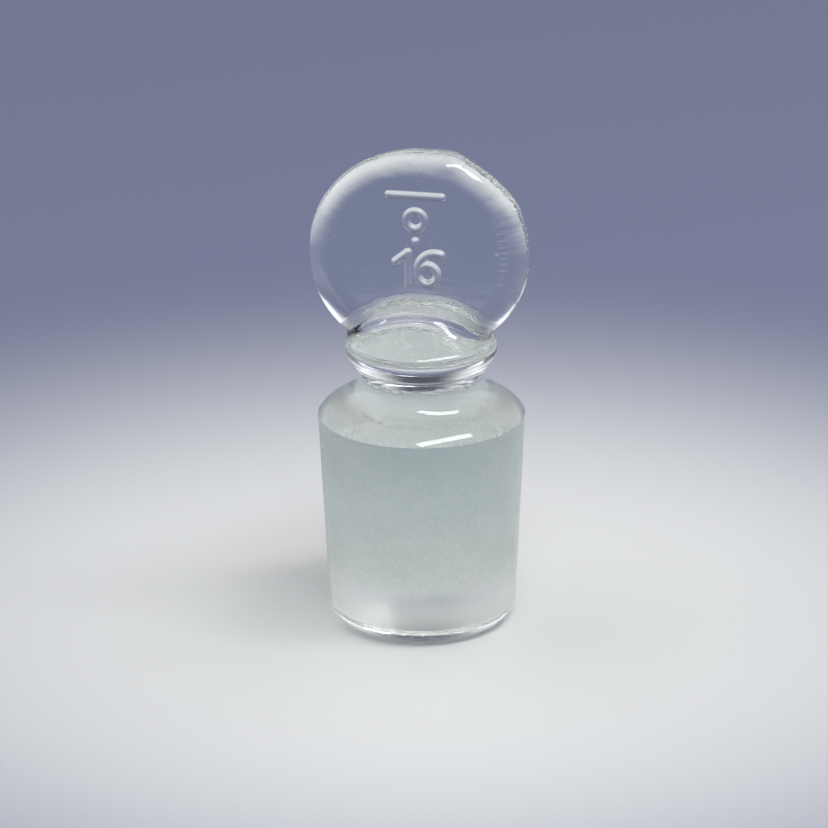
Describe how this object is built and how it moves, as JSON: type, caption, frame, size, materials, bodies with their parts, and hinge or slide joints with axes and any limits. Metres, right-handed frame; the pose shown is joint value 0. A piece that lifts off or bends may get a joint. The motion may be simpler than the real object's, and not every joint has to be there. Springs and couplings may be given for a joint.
{
  "type": "glass stopper",
  "caption": "Solid glass stopper with a frosted 1 in 10 ground plug, a collar and a flat round head, for closing the ground neck of a lab flask.",
  "frame": {"origin": "centre of the flat foot that the stopper stands on, on the axis of the ground plug", "axes": "+Z along the axis from the foot to the head, +X along the flat head's width, -Y out of the head's face that carries the raised marks"},
  "size_m": [0.0174, 0.0164, 0.0391],
  "materials": {
    "glass": "clear and glossy, fine ground and frosted on the plug"
  },
  "bodies": {
    "root": {"stopper": "glass"}
  },
  "joints": []
}
